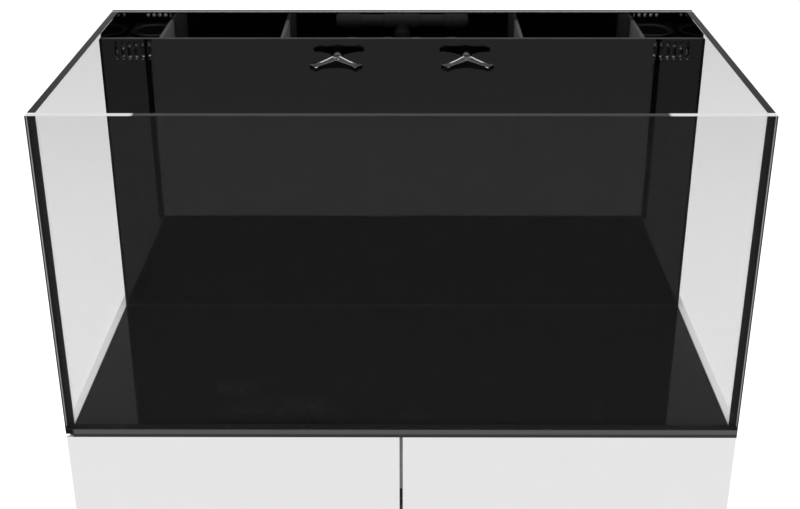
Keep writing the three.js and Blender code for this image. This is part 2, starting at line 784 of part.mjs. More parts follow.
// ---- cabinet ----
function addCabinet() {
  const across = [-SIDE, SIDE];
  const matX = [-SIDE + MAT_SHORTFALL, SIDE];
  add("levelling_mat", box(matX, [FRONT, BACK], [CABINET_HEIGHT, GLASS_BOTTOM]), foam);
  const y = [CARCASS_FRONT, BACK];
  const top = solid(box(across, y, [CABINET_HEIGHT - BOARD, CABINET_HEIGHT]));
  const base = solid(box(across, y, [0, BOARD]));
  const pocketDepth = BRACKET + 1.2;
  const topCuts = [];
  const baseCuts = [];
  for (const [, sign] of SIDES) {
    topCuts.push(bracketPocket(sign, CABINET_HEIGHT - pocketDepth, CABINET_HEIGHT + 1));
    baseCuts.push(bracketPocket(sign, -1, pocketDepth));
  }
  add("cabinet_top", surface(cut(top, ...topCuts)), lacquer);
  add("cabinet_base", surface(cut(base, ...baseCuts)), lacquer);
  const upright = [BOARD, CABINET_HEIGHT - BOARD];
  for (const [side, sign] of SIDES) {
    add("cabinet_side_" + side, box(mirrored(sign, SIDE - BOARD, SIDE), y, upright), lacquer);
  }
  addCabinetBack(upright);
  const railZ = [upright[1] - RAIL_HEIGHT, upright[1]];
  const railY = [CARCASS_FRONT, CARCASS_FRONT + BOARD];
  add("front_rail", box([-SIDE + BOARD, SIDE - BOARD], railY, railZ), lacquer);
}

// Room for a pivot's plate in the top or the base board.
function bracketPocket(sign, low, high) {
  const half = BRACKET_WIDTH / 2 + GAP;
  const x = mirrored(sign, PIVOT_X - half, PIVOT_X + half);
  return box(x, [CARCASS_FRONT - 1, BRACKET_BACK + GAP], [low, high]);
}

function addCabinetBack(upright) {
  const inner = SIDE - BOARD;
  const corner = 20;
  const panel = box([-inner, inner], [BACK - BACK_BOARD, BACK], upright);
  const openings = SIDES.map(([, sign]) => {
    const place = [sign * CABLE_OPENING_X, CABLE_OPENING_Z];
    const shape = roundedRectangle(...CABLE_OPENING, corner, ...place);
    return plateAlongY(shape, BACK - BACK_BOARD - 1, BACK + 1);
  });
  add("cabinet_back", surface(cut(solid(panel), ...openings)), lacquer);
}

// ---- doors, pivots and push latches ----
function addDoor(side, sign) {
  const x = mirrored(sign, CENTRE_GAP / 2, SIDE - DOOR_SIDE_GAP);
  const centre = [sign * PIVOT_X, PIVOT_Y];
  const notchBottom = CABINET_HEIGHT - NOTCH_DEPTH;
  const skin = 3.5; // lacquered front left over the notch
  const notchX = mirrored(sign, PIVOT_X - BRACKET_WIDTH, SIDE + 1);
  const notch = box(notchX, [FRONT + skin, DOOR_Y[1] + 1], [notchBottom, CABINET_HEIGHT + 1]);
  const cuts = [notch];
  const bushes = [
    ["top", notchBottom - BUSH_LENGTH, notchBottom],
    ["bottom", DOOR_BOTTOM, DOOR_BOTTOM + BUSH_LENGTH],
  ];
  for (const [place, low, high] of bushes) {
    const overrun = place === "top" ? [low - GAP, high + 1] : [low - 1, high + GAP];
    cuts.push(rod("z", BUSH_R + GAP, ...overrun, centre));
    const bush = solid(rod("z", BUSH_R, low, high, centre));
    const bore = rod("z", BUSH_BORE_R, low - 1, high + 1, centre);
    add("pivot_bush_" + place + "_" + side, surface(cut(bush, bore)), nylon);
  }
  const slab = solid(box(x, DOOR_Y, [DOOR_BOTTOM, CABINET_HEIGHT]));
  add("door_" + side, surface(cut(slab, ...cuts)), lacquer);
}

// Each door turns on two steel plates let into the cabinet, each with a pin in the door's bush.
function addBrackets(side, sign) {
  const rows = [
    ["top", CABINET_HEIGHT - BRACKET - 1, -1],
    ["bottom", 1, 1],
  ];
  const x = sign * PIVOT_X;
  const noseR = 4.6;
  const screwR = 2.2;
  const halfArm = 3;
  const halfTail = BRACKET_WIDTH / 2;
  for (const [place, low, up] of rows) {
    const z = [low, low + BRACKET];
    const pin = up > 0 ? [low + 1, z[1] + PIN_LENGTH] : [low - PIN_LENGTH, z[1] - 1];
    const parts = [
      box([x - halfArm, x + halfArm], [PIVOT_Y, CARCASS_FRONT + 1], z),
      box([x - halfTail, x + halfTail], [CARCASS_FRONT + GAP, BRACKET_BACK], z),
      rod("z", noseR, ...z, [x, PIVOT_Y]),
      rod("z", PIVOT_R, ...pin, [x, PIVOT_Y]),
    ];
    const screws = [14, 30].map((step) =>
      rod("z", screwR, low - 1, z[1] + 1, [x, CARCASS_FRONT + step], 12),
    );
    add("pivot_bracket_" + place + "_" + side, surface(cut(join(...parts), ...screws)), steel);
  }
}

// One housing under the rail holds a sprung plunger for each door.
function addLatches() {
  const front = CARCASS_FRONT + 3;
  const [width, depth, height] = LATCH_SIZE;
  const z = [LATCH_Z - height / 2, LATCH_Z + height / 2];
  const housing = solid(box([-width / 2, width / 2], [front, front + depth], z));
  const stroke = 10; // room behind each plunger
  const plungerEnd = front + 36;
  const headLength = 2.5;
  const tip = DOOR_Y[1] + GAP;
  const bores = [];
  for (const [side, sign] of SIDES) {
    const centre = [sign * LATCH_X, LATCH_Z];
    bores.push(rod("y", PLUNGER_R + GAP, front - 1, plungerEnd + stroke, centre));
    const parts = [
      rod("y", PLUNGER_R, tip, plungerEnd, centre),
      rod("y", PLUNGER_R + 1, tip, tip + headLength, centre),
    ];
    add("latch_plunger_" + side, surface(join(...parts)), blackPlastic);
  }
  add("latch_body", surface(cut(housing, ...bores)), blackPlastic);
}

addGlass();
addPaneSeals();
addWeir();
addLiners();
addBaffles();
addTee();
for (const [side, sign] of SIDES) {
  addSock(side, sign);
  addReturnArm(side, sign);
  addNozzle(side, sign);
}
addPump();
addCabinet();
for (const [side, sign] of SIDES) {
  addDoor(side, sign);
  addBrackets(side, sign);
}
addLatches();

export default aquarium;
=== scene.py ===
"""A frameless all-in-one aquarium on its white cabinet, dressed for rendering.

Metres, +Z up, the doors face -Y, and the origin is on the floor under the cabinet's middle.
"""
import json
import math

import bmesh
import bpy
from mathutils import Matrix, Vector


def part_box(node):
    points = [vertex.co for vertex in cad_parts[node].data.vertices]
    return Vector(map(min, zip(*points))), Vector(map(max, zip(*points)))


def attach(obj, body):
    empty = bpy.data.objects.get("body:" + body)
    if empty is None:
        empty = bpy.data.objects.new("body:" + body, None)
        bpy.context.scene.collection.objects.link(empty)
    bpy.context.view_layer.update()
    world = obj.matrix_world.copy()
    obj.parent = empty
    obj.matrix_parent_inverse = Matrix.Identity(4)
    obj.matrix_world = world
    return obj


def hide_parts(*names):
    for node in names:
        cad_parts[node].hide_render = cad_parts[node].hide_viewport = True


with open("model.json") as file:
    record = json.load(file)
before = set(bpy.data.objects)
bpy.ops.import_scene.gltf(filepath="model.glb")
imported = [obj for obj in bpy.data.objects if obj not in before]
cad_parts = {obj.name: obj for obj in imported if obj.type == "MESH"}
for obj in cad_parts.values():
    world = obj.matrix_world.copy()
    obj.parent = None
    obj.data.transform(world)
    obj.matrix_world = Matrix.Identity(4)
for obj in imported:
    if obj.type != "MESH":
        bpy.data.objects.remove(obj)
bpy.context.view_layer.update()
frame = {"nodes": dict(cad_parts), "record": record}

# ---- names taken from the frame ----
SIDES = (("left", -1), ("right", 1))
NODES = frame["nodes"]
SLOT_OF = {s["node"]: s["material_slot"] for s in frame["record"]["subparts"]}


# ---- camera ----
def add_camera():
    """The viewpoint: in front, half a metre above the rim, looking down into the tank."""
    data = bpy.data.cameras.new("camera")
    data.sensor_width = 36
    data.lens = 56.294
    data.shift_y = -0.0306
    data.clip_end = 100
    pitch, yaw, roll = math.radians(24.404), math.radians(0.2837), math.radians(-0.0737)
    turn = (
        Matrix.Rotation(yaw, 4, "Z")
        @ Matrix.Rotation(math.pi / 2 - pitch, 4, "X")
        @ Matrix.Rotation(roll, 4, "Z")
    )
    camera = bpy.data.objects.new("camera", data)
    camera.matrix_world = Matrix.Translation((0.00587, -1.66454, 1.79764)) @ turn
    bpy.context.scene.collection.objects.link(camera)
    bpy.context.scene.camera = camera


# ---- light and stage ----
# name, place, the point it is aimed at, width and height, watts
SOFTBOXES = (
    ("softbox_top", (0, 0.3, 4.2), (0, 0.3, 0), (3.8, 0.7), 50),
    ("softbox_back", (0, 2.6, 3.6), (0, 0.1, 1.25), (3.0, 0.5), 42),
    ("softbox_left", (-3.2, -1.2, 2.6), (0, 0, 1.1), (0.5, 1.6), 6),
    ("softbox_right", (3.2, -1.2, 2.6), (0, 0, 1.1), (0.5, 1.6), 6),
)
ROOM_STRENGTH = 1.08
FLOOR_SIZE = 80


def add_area_light(name, place, target, size, watts):
    data = bpy.data.lights.new(name, "AREA")
    data.shape = "RECTANGLE"
    data.size, data.size_y = size
    data.energy = watts
    light = bpy.data.objects.new(name, data)
    light.location = place
    light.rotation_euler = (Vector(target) - Vector(place)).to_track_quat("-Z", "Y").to_euler()
    bpy.context.scene.collection.objects.link(light)


def add_stage():
    world = bpy.data.worlds.new("studio")
    bpy.context.scene.world = world
    world.use_nodes = True
    background = world.node_tree.nodes["Background"]
    background.inputs["Color"].default_value = (1, 1, 1, 1)
    background.inputs["Strength"].default_value = ROOM_STRENGTH
    bpy.ops.mesh.primitive_plane_add(size=FLOOR_SIZE)
    floor = bpy.context.object
    floor.name = "studio_floor"
    floor.data.materials.append(plain_material("studio_floor", grey(0.95), 0.9))
    for softbox in SOFTBOXES:
        add_area_light(*softbox)
    bpy.context.scene.view_settings.view_transform = "Standard"
    bpy.context.scene.view_settings.look = "None"


# ---- material helpers ----
NOISE_DETAIL = 3
NOISE_SPREAD = (0.3, 0.7)  # nearly all of a noise texture's values lie between these
EDGE_GRAIN = 60
RAMP_REACH = 0.5  # half the length in metres that a grey ramp spans
FINE_GRAIN = 20  # how much finer a bump's noise is than its material's colour noise


def grey(value):
    return (value, value, value)


def greys(low, high):
    return grey(low), grey(high)


def node_tree(name):
    material = bpy.data.materials.new(name)
    material.use_nodes = True
    tree = material.node_tree
    tree.nodes.clear()
    output = tree.nodes.new("ShaderNodeOutputMaterial")
    return material, tree, output


def plain_material(name, color, roughness):
    material, tree, output = node_tree(name)
    shader = tree.nodes.new("ShaderNodeBsdfPrincipled")
    shader.inputs["Base Color"].default_value = (*color, 1)
    shader.inputs["Roughness"].default_value = roughness
    tree.links.new(shader.outputs["BSDF"], output.inputs["Surface"])
    return material


def noise(tree, scale):
    """A noise value over the object's own metres."""
    where = tree.nodes.new("ShaderNodeTexCoord")
    texture = tree.nodes.new("ShaderNodeTexNoise")
    texture.inputs["Scale"].default_value = scale
    texture.inputs["Detail"].default_value = NOISE_DETAIL
    tree.links.new(where.outputs["Object"], texture.inputs["Vector"])
    return texture.outputs["Fac"]


def ranged(tree, source, low, high, edges=NOISE_SPREAD):
    """source, a number between edges, spread from low to high."""
    spread = tree.nodes.new("ShaderNodeMapRange")
    spread.inputs["From Min"].default_value = edges[0]
    spread.inputs["From Max"].default_value = edges[1]
    spread.inputs["To Min"].default_value = low
    spread.inputs["To Max"].default_value = high
    tree.links.new(source, spread.inputs["Value"])
    return spread.outputs["Result"]


def mixed_color(tree, factor, first, second):
    mix = tree.nodes.new("ShaderNodeMix")
    mix.data_type = "RGBA"
    mix.inputs["A"].default_value = (*first, 1)
    mix.inputs["B"].default_value = (*second, 1)
    tree.links.new(factor, mix.inputs["Factor"])
    return mix.outputs["Result"]


def bumped(tree, shader, height, distance):
    bump = tree.nodes.new("ShaderNodeBump")
    bump.inputs["Strength"].default_value = 1
    bump.inputs["Distance"].default_value = distance
    tree.links.new(height, bump.inputs["Height"])
    tree.links.new(bump.outputs["Normal"], shader.inputs["Normal"])


def surface(name, colors, roughness, ior, grain, bump=0.0, metallic=0.0):
    """A solid material: two close colours and a roughness range over one noise, and a fine bump."""
    material, tree, output = node_tree(name)
    shader = tree.nodes.new("ShaderNodeBsdfPrincipled")
    shader.inputs["IOR"].default_value = ior
    shader.inputs["Metallic"].default_value = metallic
    cloud = noise(tree, grain)
    tree.links.new(mixed_color(tree, cloud, *colors), shader.inputs["Base Color"])
    tree.links.new(ranged(tree, cloud, *roughness), shader.inputs["Roughness"])
    if bump:
        bumped(tree, shader, noise(tree, grain * FINE_GRAIN), bump)
    tree.links.new(shader.outputs["BSDF"], output.inputs["Surface"])
    return material


def clear_glass(name, tint, facing_gloss, grazing_gloss):
    """A pane's face: tinted see-through, with a gloss that grows towards grazing angles."""
    material, tree, output = node_tree(name)
    through = tree.nodes.new("ShaderNodeBsdfTransparent")
    through.inputs["Color"].default_value = (*tint, 1)
    gloss = tree.nodes.new("ShaderNodeBsdfAnisotropic")
    gloss.inputs["Roughness"].default_value = 0.0
    weight = tree.nodes.new("ShaderNodeLayerWeight")
    weight.inputs["Blend"].default_value = 0.5
    steep = tree.nodes.new("ShaderNodeMath")
    steep.operation = "POWER"
    steep.inputs[1].default_value = 5
    share = tree.nodes.new("ShaderNodeMath")
    share.operation = "MULTIPLY_ADD"
    share.inputs[1].default_value = grazing_gloss
    share.inputs[2].default_value = facing_gloss
    mix = tree.nodes.new("ShaderNodeMixShader")
    tree.links.new(weight.outputs["Facing"], steep.inputs[0])
    tree.links.new(steep.outputs["Value"], share.inputs[0])
    tree.links.new(share.outputs["Value"], mix.inputs["Fac"])
    tree.links.new(through.outputs["BSDF"], mix.inputs[1])
    tree.links.new(gloss.outputs["BSDF"], mix.inputs[2])
    tree.links.new(mix.outputs["Shader"], output.inputs["Surface"])
    return material


def across(name, stops, roughness, ior=1.06, axis="X"):
    """A material whose grey changes along an axis; stops are (place in metres, grey), rising."""
    material, tree, output = node_tree(name)
    shader = tree.nodes.new("ShaderNodeBsdfPrincipled")
    shader.inputs["IOR"].default_value = ior
    where = tree.nodes.new("ShaderNodeTexCoord")
    split = tree.nodes.new("ShaderNodeSeparateXYZ")
    tree.links.new(where.outputs["Object"], split.inputs["Vector"])
    place = ranged(tree, split.outputs[axis], 0, 1, (-RAMP_REACH, RAMP_REACH))
    ramp = tree.nodes.new("ShaderNodeValToRGB")
    elements = ramp.color_ramp.elements
    while len(elements) < len(stops):
        elements.new(0.5)
    for element, (at, value) in zip(elements, stops):
        element.position = at + RAMP_REACH
        element.color = (*grey(value), 1)
    tree.links.new(place, ramp.inputs["Fac"])
    tree.links.new(ramp.outputs["Color"], shader.inputs["Base Color"])
    cloud = noise(tree, EDGE_GRAIN)
    tree.links.new(ranged(tree, cloud, *roughness), shader.inputs["Roughness"])
    tree.links.new(shader.outputs["BSDF"], output.inputs["Surface"])
    return material


def both_ways(stops):
    """The same stops on both sides of the middle."""
    return [(-x, value) for x, value in reversed(stops)] + list(stops)


# ---- the materials ----
# the looks of the record's material slots
LOOKS = {
    # the seals are dark, with a pale strip past |X| 0.4497 m along their outer edges: a painted
    # highlight
    "silicone": across("silicone", both_ways([(0.4493, 0.012), (0.4497, 0.1)]), (0.2, 0.3)),
    "black_silicone": surface("black_silicone", greys(0.0015, 0.003), (0.3, 0.4), 1.12, 60, 0.0002),
    "black_acrylic": surface("black_acrylic", greys(0.0006, 0.001), (0.02, 0.04), 1.298, 9),
    "black_glass": surface("black_glass", greys(0.0012, 0.0018), (0.02, 0.05), 1.2, 6),
    "grey_acrylic": surface("grey_acrylic", greys(0.075, 0.095), (0.3, 0.45), 1.3, 30),
    "black_plastic": surface("black_plastic", greys(0.008, 0.014), (0.25, 0.38), 1.35, 40, 0.0001),
    "glossy_plastic": surface("glossy_plastic", greys(0.002, 0.004), (0.1, 0.16), 1.5, 80),
    "felt": surface("felt", ((0.75, 0.75, 0.7), (0.86, 0.86, 0.82)), (0.9, 1), 1.45, 400, 0.0004),
    "foam": surface("foam", greys(0.008, 0.024), (0.8, 0.95), 1.45, 500, 0.0004),
    "white_lacquer": surface("white_lacquer", greys(0.65, 0.67), (0.18, 0.26), 1.45, 25),
    "steel": surface("steel", greys(0.5, 0.6), (0.25, 0.4), 1.45, 200, metallic=1.0),
    "nylon": surface("nylon", greys(0.7, 0.75), (0.4, 0.5), 1.45, 60, 0.0001),
    "clear_glass": clear_glass("clear_glass", grey(0.945), 0.0046, 0.42),
}
# looks for some faces or pieces of a slot
SIDE_GLASS = clear_glass("side_glass", grey(0.78), 0.004, 0.1)
GLASS_EDGE = surface("glass_edge", greys(0.006, 0.009), (0.04, 0.1), 1.06, 30)
REAR_RIM = surface("rear_rim", greys(0.03, 0.04), (0.04, 0.1), 1.008, 30)
# the front pane's end faces: dark at both arrises, with a pale band between them that is a painted
# highlight
FRONT_END_PAINTED_HIGHLIGHT = across(
    "front_end_painted_highlight",
    [(-0.2452, 0.001), (-0.2448, 0.6), (-0.2412, 0.6), (-0.2408, 0.008)],
    (0.3, 0.4),
    1.0,
    "Y",
)
# the front pane's top face: dark in the middle and pale beyond |X| 0.3237 m, where the pale ends
# are painted light
FRONT_RIM_PAINTED_LIGHT = across("front_rim_painted_light", both_ways([(0.3225, 0.008), (0.3237, 0.42)]), (0.08, 0.16), 1.1)
# the bottom pane's edges: grey, with painted shade darkening the end left of X -0.4375 m
BASE_EDGE_PAINTED_SHADE = across(
    "base_edge_painted_shade", [(-0.4385, 0.004), (-0.4375, 0.075), (0.45, 0.08)], (0.05, 0.12), 1.11
)
GROUND_EDGE = surface("ground_edge", greys(0.86, 0.92), (0.4, 0.5), 1.2, 60)
CLEAR_SILICONE = clear_glass("clear_silicone", grey(0.97), 0.002, 0.1)
# the nozzle stems: a grey far lighter than the nozzles' black plastic, a painted sheen that
# brightens the stripe along their tops
STEM_PAINTED_SHEEN = surface("stem_painted_sheen", greys(0.1, 0.12), (0.14, 0.2), 1.7, 80)
DARK_MOULDING = surface("dark_moulding", greys(0.0015, 0.0025), (0.15, 0.25), 1.08, 80)
# painted light from above: the nozzle heads' up-facing faces get a lighter grey than the dark
# moulding
PAINTED_TOP_LIGHT = surface("painted_top_light", greys(0.012, 0.02), (0.3, 0.4), 1.14, 80)
POLISHED = surface("polished", greys(0.002, 0.004), (0.06, 0.1), 1.85, 80)
# the return pipes and fittings: a grey lighter than their black plastic, painted light that they
# catch in the chamber
PIPE_PAINTED_LIGHT = surface("pipe_painted_light", greys(0.045, 0.055), (0.4, 0.5), 1.2, 60)
SAWN_EDGE = surface("sawn_edge", greys(0.02, 0.026), (0.35, 0.5), 1.05, 60)
SAWN_GREY = surface("sawn_grey", greys(0.028, 0.036), (0.35, 0.5), 1.06, 60)
MIRROR_BLACK = surface("mirror_black", greys(0.0006, 0.001), (0.015, 0.03), 2.5, 9)
DULL_BLACK = surface("dull_black", greys(0.0006, 0.001), (0.5, 0.6), 1.0, 60)


# ---- the CAD nodes that stay ----
ROUND_ANGLE = math.radians(35)
ROUND_SEGMENTS = 2
CAD_ROUND = 0.0005
PANE_ARRIS = 0.0006
FACING = 0.9  # a face looks along an axis when its normal's share of it is above this
BEAD = (0.4369, 0.4402)  # how far out in X the clear beads start and end
SIDE_PANE_INSIDE = 0.4398


def soften(piece, width):
    """A small round along the piece's sharp edges, shaded smoothly."""
    bevel = piece.modifiers.new("round", "BEVEL")
    bevel.width = width
    bevel.segments = ROUND_SEGMENTS
    bevel.limit_method = "ANGLE"
    bevel.angle_limit = ROUND_ANGLE
    bevel.harden_normals = True
    for polygon in piece.data.polygons:
        polygon.use_smooth = True
    return bevel


def set_material(piece, *materials):
    piece.data.materials.clear()
    for material in materials:
        piece.data.materials.append(material)


def dress_faces(node, axis, face, edge):
    """One material on the two large faces across an axis, another on the edges and arrises."""
    panel = NODES[node]
    set_material(panel, face, edge)
    for polygon in panel.data.polygons:
        polygon.material_index = 0 if abs(polygon.normal[axis]) > FACING else 1
    soften(panel, PANE_ARRIS).material = 1


def dress_where(node, material, test):
    """Gives the faces that pass a test a material of their own."""
    mesh = NODES[node].data
    mesh.materials.append(material)
    for polygon in mesh.polygons:
        if test(polygon):
            polygon.material_index = len(mesh.materials) - 1


def looks_up(polygon):
    return polygon.normal.z > FACING


def looks_down(polygon):
    return polygon.normal.z < -FACING


def looks_sideways(polygon):
    return abs(polygon.normal.x) > FACING


def looks_forward(polygon):
    return polygon.normal.y < -FACING


def dress_seals():
    """Clear beads up the corners and along the floor's sides, a pale joint under the side panes."""
    mesh = NODES["pane_seals"].data

    def reach(polygon):
        return [abs(mesh.vertices[i].co.x) for i in polygon.vertices]

    def in_bead(polygon):
        return min(reach(polygon)) > BEAD[0] and max(reach(polygon)) < BEAD[1]

    def under_side_pane(polygon):
        return looks_up(polygon) and min(reach(polygon)) > SIDE_PANE_INSIDE

    dress_where("pane_seals", CLEAR_SILICONE, in_bead)
    dress_where("pane_seals", GROUND_EDGE, under_side_pane)


def dress_cad_nodes():
    faced = {
        "front_pane": (1, LOOKS["clear_glass"], GLASS_EDGE),
        "rear_pane": (1, LOOKS["clear_glass"], GLASS_EDGE),
        "left_pane": (0, SIDE_GLASS, GLASS_EDGE),
        "right_pane": (0, SIDE_GLASS, GLASS_EDGE),
        "bottom_pane": (2, LOOKS["black_glass"], BASE_EDGE_PAINTED_SHADE),
    }
    for name, node in NODES.items():
        if name in faced:
            dress_faces(name, *faced[name])
        else:
            set_material(node, LOOKS[SLOT_OF[name]])
            soften(node, CAD_ROUND)
    dress_seals()
    dress_where("front_pane", FRONT_RIM_PAINTED_LIGHT, looks_up)
    dress_where("front_pane", FRONT_END_PAINTED_HIGHLIGHT, looks_sideways)
    dress_where("rear_pane", REAR_RIM, looks_up)
    dress_where("left_pane", GROUND_EDGE, looks_down)
    dress_where("right_pane", GROUND_EDGE, looks_down)
    dress_where("rear_liner", MIRROR_BLACK, looks_forward)
    dress_where("rear_liner", DULL_BLACK, looks_up)
    NODES["rear_liner"].modifiers["round"].material = 2  # the dull black on the arrises too
    dress_where("weir_wall", SAWN_EDGE, looks_up)
    for side, _ in SIDES:
        dress_where("side_liner_" + side, DULL_BLACK, looks_up)
        for place in ("outer", "inner"):
            dress_where("baffle_" + side + "_" + place, SAWN_GREY, looks_up)


# ---- building detailed pieces ----
def new_piece(name, vertices, faces):
    mesh = bpy.data.meshes.new(name)
    mesh.from_pydata([tuple(v) for v in vertices], [], faces)
    tidy = bmesh.new()
    tidy.from_mesh(mesh)
    bmesh.ops.recalc_face_normals(tidy, faces=tidy.faces)
    tidy.to_mesh(mesh)
    tidy.free()
    piece = bpy.data.objects.new(name, mesh)
    bpy.context.scene.collection.objects.link(piece)
    return piece


def rounded(points, radius, steps=3):
    """An outline with arcs for its corners; a corner with too little room gets a smaller arc."""
    corners = [Vector(p) for p in points]
    result = []
    for i, corner in enumerate(corners):
        before, after = corners[i - 1] - corner, corners[(i + 1) % len(corners)] - corner
        turn = before.angle(after)
        half = turn / 2
        reach = min(radius / math.tan(half), before.length * 0.45, after.length * 0.45)
        if math.pi - turn < 0.05 or reach <= 0:
            result.append(corner)
            continue
        start, end = corner + before.normalized() * reach, corner + after.normalized() * reach
        centre = corner + (before.normalized() + after.normalized()).normalized() * (
            reach / math.cos(half)
        )
        size = (start - centre).length
        for k in range(steps + 1):
            point = start.lerp(end, k / steps) - centre
            result.append(centre + point.normalized() * size)
    return result


AXES = {
    "x": lambda along, a, b: (along, a, b),
    "y": lambda along, a, b: (a, along, b),
    "z": lambda along, a, b: (a, b, along),
}


def lathe(name, profile, axis, centre, segments=56):
    """A closed outline of (radius, distance along the axis) points turned round that axis.

    centre gives the axis line's two other coordinates. A radius of 0 becomes a single point.
    """
    vertices, rings = [], []
    for radius, along in profile:
        count = 1 if radius < 1e-7 else segments
        rings.append(list(range(len(vertices), len(vertices) + count)))
        for k in range(count):
            angle = 2 * math.pi * k / segments
            a, b = centre[0] + radius * math.cos(angle), centre[1] + radius * math.sin(angle)
            vertices.append(AXES[axis](along, a, b))
    faces = []
    for i, ring in enumerate(rings):
        after = rings[(i + 1) % len(rings)]
        if len(ring) == len(after) == 1:
            continue
        for k in range(segments):
            quad = [ring[k % len(ring)], ring[(k + 1) % len(ring)]]
            quad += [after[(k + 1) % len(after)], after[k % len(after)]]
            faces.append(list(dict.fromkeys(quad)))
    return new_piece(name, vertices, faces)


def tube(name, outer, inner, ends, axis, centre, edge=0.0006):
    """A straight pipe with rounded ends."""
    low, high = ends
    outline = [(inner, low), (outer, low), (outer, high), (inner, high)]
    return lathe(name, rounded(outline, edge), axis, centre)


def bar(name, outline, axis, centre, edge=0.0006):
    """A solid of revolution; the outline of (radius, distance) runs from one end to the other."""
    first, last = outline[0][1], outline[-1][1]
    corners = rounded([(0, first), *outline, (0, last)], edge)
    kept = [tuple(p) for p in corners if p[0] > edge]
    return lathe(name, [(0, first), *kept, (0, last)], axis, centre)


def cylinder(name, radius, ends, axis, centre, edge=0.0006):
    return bar(name, [(radius, ends[0]), (radius, ends[1])], axis, centre, edge)


def tool(radius, ends, axis, centre):
    """A plain cylinder to cut a bore with."""
    outline = [(0, ends[0]), (radius, ends[0]), (radius, ends[1]), (0, ends[1])]
    return lathe("tool", outline, axis, centre)


def loft(name, rings):
    """A closed skin over a row of rings with the same number of points, capped at both ends."""
    count = len(rings[0])
    vertices = [point for ring in rings for point in ring]
    faces = [list(range(count))[::-1], [len(vertices) - count + k for k in range(count)]]
    for i in range(len(rings) - 1):
        for k in range(count):
            a, b = i * count + k, i * count + (k + 1) % count
            faces.append([a, b, b + count, a + count])
    return new_piece(name, vertices, faces)


def rounded_block(name, low, high, radius, steps=3):
    """An upright block between two corners, with rounded uprights."""
    corners = [(low[0], low[1]), (high[0], low[1]), (high[0], high[1]), (low[0], high[1])]
    outline = rounded(corners, radius, steps)
    return loft(name, [[(p[0], p[1], z) for p in outline] for z in (low[2], high[2])])


def combine(piece, other, operation):
    """Joins the other piece to this one or cuts it out, for good."""
    modifier = piece.modifiers.new("combine", "BOOLEAN")
    modifier.operation = operation
    modifier.solver = "EXACT"
    modifier.object = other
    depsgraph = bpy.context.evaluated_depsgraph_get()
    mesh = bpy.data.meshes.new_from_object(piece.evaluated_get(depsgraph))
    piece.modifiers.clear()
    piece.data = mesh
    bpy.data.objects.remove(other)
    return piece


def joined(piece, *others):
    for other in others:
        combine(piece, other, "UNION")
    return piece


def without(piece, *others):
    for other in others:
        combine(piece, other, "DIFFERENCE")
    return piece


def fit_out(piece, body, slot, stands_for, round_width=0.0):
    """Material, smooth shading, and the CAD body and node that the piece goes with."""
    set_material(piece, LOOKS[slot])
    if round_width:
        soften(piece, round_width)
    for polygon in piece.data.polygons:
        polygon.use_smooth = True
    piece.data.set_sharp_from_angle(angle=ROUND_ANGLE)
    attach(piece, body)
    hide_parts(stands_for)
    return piece


# ---- return nozzles ----
ARM_SPREAD = math.radians(58.5)
# distance along an arm, half its width there, half its height, and how far it has dropped
ARM_SECTIONS = (
    (0.000, 0.0072, 0.0062, 0.0000),
    (0.005, 0.0076, 0.0060, 0.0003),
    (0.012, 0.0064, 0.0050, 0.0010),
    (0.020, 0.0054, 0.0042, 0.0017),
    (0.028, 0.0049, 0.0036, 0.0024),
    (0.0325, 0.0051, 0.0033, 0.0027),
    (0.0345, 0.0080, 0.0032, 0.0029),
    (0.039, 0.0085, 0.0032, 0.0032),
)
MOUTH_WALL = 0.0013
MOUTH_DEPTH = 0.012
RIDGED_LENGTH = 0.03
RIDGE = 0.0009
NO_RIDGE = 0.00005
RIDGE_SLOPE = 1.2
BALL_RADIUS = 0.0058
SOCKET_RADIUS = 0.00595
NECK_RADIUS = 0.0034
STEM_RADIUS = 0.0055
STEM_BORE = 0.0022
GROMMET_BORE = 0.0058


def arm_section(half_width, half_height, rear, ridge):
    """An arm's section: a flat top with a raised ridge along its rear edge; rear is 1 or -1."""
    w, h, low = half_width, half_height, 0.0007
    outline = [
        (-w, -h + low), (-w + low, -h), (w - low, -h), (w, -h + low),
        (w, h + ridge - 0.0004), (w - 0.0005, h + ridge), (w - 0.0010, h + ridge),
        (w - 0.0010 - RIDGE_SLOPE * ridge, h), (-w + 0.0008, h), (-w, h - 0.0008),
    ]
    return [(rear * a, b) for a, b in outline]


def nozzle_arm(name, root, sign):
    along = Vector((sign * math.sin(ARM_SPREAD), -math.cos(ARM_SPREAD), 0))
    across_arm = Vector((-along.y, along.x, 0))

    def ring(u, half_width, half_height, drop, ridge=0.0):
        ridge = ridge or (RIDGE if u < RIDGED_LENGTH else NO_RIDGE)
        corners = arm_section(half_width, half_height, sign, ridge)
        return [root + along * u + across_arm * a + Vector((0, 0, b - drop)) for a, b in corners]

    rings = [ring(*section) for section in ARM_SECTIONS]
    tip, width, height, drop = ARM_SECTIONS[-1]
    width, height = width - MOUTH_WALL, height - MOUTH_WALL
    rings.append(ring(tip, width, height, drop, NO_RIDGE))
    rings.append(ring(tip - MOUTH_DEPTH, width * 0.55, height * 0.9, drop - 0.0006, NO_RIDGE))
    return loft(name, rings)


